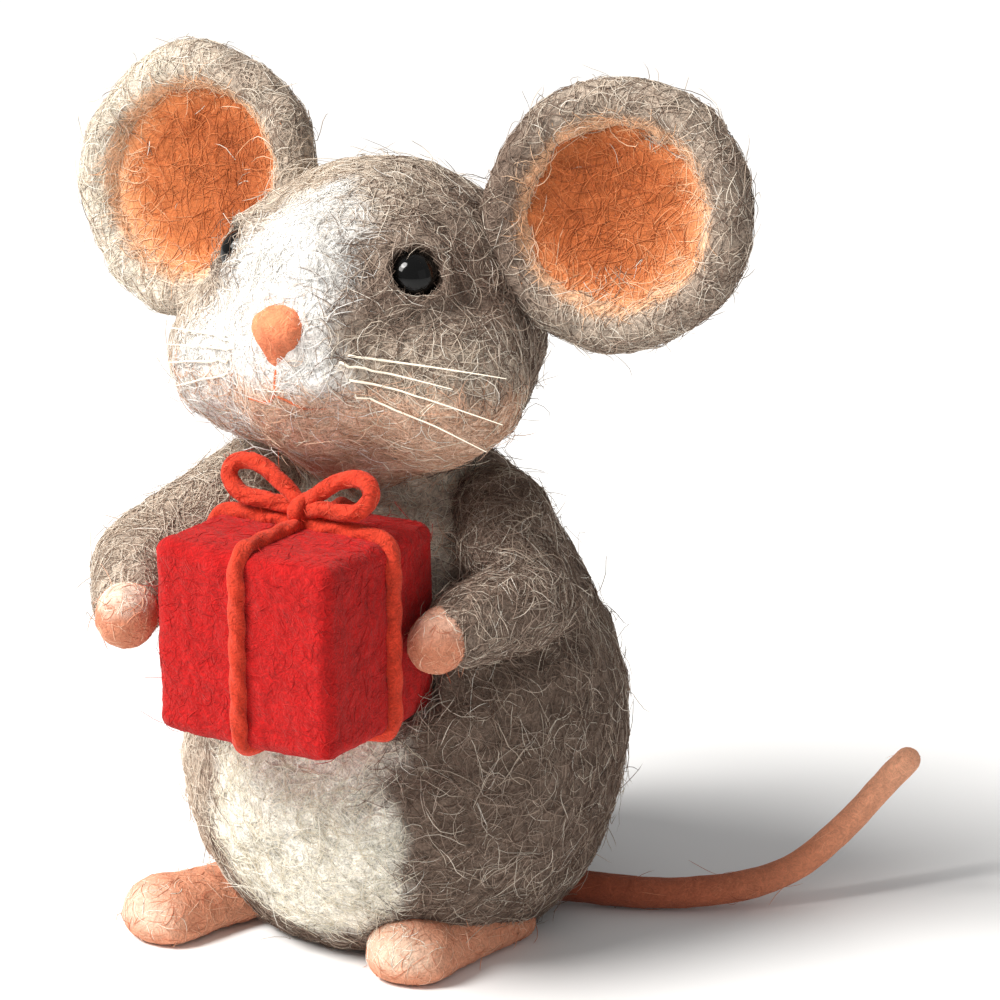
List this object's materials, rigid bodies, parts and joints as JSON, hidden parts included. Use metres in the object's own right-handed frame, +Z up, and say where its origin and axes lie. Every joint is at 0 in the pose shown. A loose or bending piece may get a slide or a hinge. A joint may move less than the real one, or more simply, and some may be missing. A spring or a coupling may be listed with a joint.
{
  "type": "needle-felted mouse figure",
  "caption": "Needle-felted wool mouse on a bendable wire armature, standing on two felt feet and holding a felt-wrapped gift box tied with a yarn bow.",
  "frame": {"origin": "middle of the flat patch under the belly, on the surface it stands on", "axes": "+Z up; the mouse faces -Y; +X is towards its left side"},
  "size_m": [0.1033, 0.0766, 0.1097],
  "materials": {
    "core_wool": "firmly felted carded wool",
    "coat_wool": "loosely felted grey-brown wool with stray fibres",
    "cream_wool": "felted cream wool",
    "white_wool": "felted white wool",
    "pink_wool": "felted salmon wool with cream tips",
    "nose_wool": "tightly felted salmon wool",
    "mouth_wool": "a strand of felted wool",
    "black_glass": "polished black glass",
    "orange_wool": "felted orange wool",
    "whisker_bristle": "stiff pale bristle",
    "tail_wool": "tightly wrapped red-brown wool, paler towards the tip",
    "gift_block": "plain light wood",
    "red_felt": "red wool felt",
    "yarn": "soft twisted orange-red yarn",
    "steel_wire": "bare annealed wire"
  },
  "bodies": {
    "torso": {"torso_core": "core_wool", "torso_coat": "coat_wool", "belly_patch": "cream_wool", "spine_wire": "steel_wire", "left_foot": "pink_wool", "right_foot": "pink_wool"},
    "neck": {"neck_ball": "coat_wool", "neck_wire": "steel_wire"},
    "head": {"head_core": "core_wool", "head_coat": "coat_wool", "face_patch": "white_wool", "nose": "nose_wool", "mouth_stitches": "mouth_wool", "left_eye": "black_glass", "right_eye": "black_glass", "left_eye_wire": "steel_wire", "right_eye_wire": "steel_wire", "left_ear": "coat_wool", "right_ear": "coat_wool", "left_ear_lining": "orange_wool", "right_ear_lining": "orange_wool", "left_whiskers": "whisker_bristle", "right_whiskers": "whisker_bristle"},
    "left_upper_arm": {"left_upper_arm": "coat_wool", "left_upper_arm_wire": "steel_wire"},
    "left_forearm": {"left_forearm": "coat_wool", "left_forearm_wire": "steel_wire", "left_hand": "pink_wool"},
    "right_upper_arm": {"right_upper_arm": "coat_wool", "right_upper_arm_wire": "steel_wire"},
    "right_forearm": {"right_forearm": "coat_wool", "right_forearm_wire": "steel_wire", "right_hand": "pink_wool"},
    "tail_base": {"tail_base": "tail_wool", "tail_base_wire": "steel_wire"},
    "tail_middle": {"tail_middle": "tail_wool", "tail_middle_wire": "steel_wire"},
    "tail_end": {"tail_end": "tail_wool", "tail_end_wire": "steel_wire"},
    "gift": {"gift_block": "gift_block", "gift_wrap": "red_felt", "ribbon_front_to_back": "yarn", "ribbon_side_to_side": "yarn", "bow_knot": "yarn", "left_bow_loop": "yarn", "right_bow_loop": "yarn"}
  },
  "joints": [
    {"name": "head_turn", "type": "hinge", "parent": "torso", "child": "neck", "pos_m": [0, 0.0003, 0.0594], "axis": [0, 0, 1], "range_deg": [-30, 30]},
    {"name": "head_nod", "type": "hinge", "parent": "neck", "child": "head", "pos_m": [0, 0.0003, 0.0594], "axis": [-1, 0, 0], "range_deg": [-4, 15]},
    {"name": "left_shoulder_swing", "type": "hinge", "parent": "torso", "child": "left_upper_arm", "pos_m": [0.0158, -0.002, 0.0544], "axis": [0, 0, 1], "range_deg": [0, 35]},
    {"name": "left_elbow_bend", "type": "hinge", "parent": "left_upper_arm", "child": "left_forearm", "pos_m": [0.0227, -0.009, 0.0468], "axis": [0.5415, -0.3132, 0.7801], "range_deg": [0, 40]},
    {"name": "right_shoulder_swing", "type": "hinge", "parent": "torso", "child": "right_upper_arm", "pos_m": [-0.0165, -0.006, 0.0555], "axis": [0, 0, -1], "range_deg": [0, 35]},
    {"name": "right_elbow_bend", "type": "hinge", "parent": "right_upper_arm", "child": "right_forearm", "pos_m": [-0.0243, -0.021, 0.0476], "axis": [0.358, 0.2825, -0.8899], "range_deg": [0, 40]},
    {"name": "tail_sweep", "type": "hinge", "parent": "torso", "child": "tail_base", "pos_m": [0.019, 0.0094, 0.0026], "axis": [0, 0, 1], "range_deg": [-25, 25]},
    {"name": "tail_middle_bend", "type": "hinge", "parent": "tail_base", "child": "tail_middle", "pos_m": [0.033, 0.0156, 0.0023], "axis": [0.6508, -0.7593, 0], "range_deg": [-6, 40]},
    {"name": "tail_end_bend", "type": "hinge", "parent": "tail_middle", "child": "tail_end", "pos_m": [0.0442, 0.0252, 0.0052], "axis": [0.7071, -0.7071, 0], "range_deg": [-30, 25]},
    {"name": "gift_slide", "type": "slide", "parent": "torso", "child": "gift", "axis": [0, -1, 0], "range_m": [0, 0.02]}
  ]
}
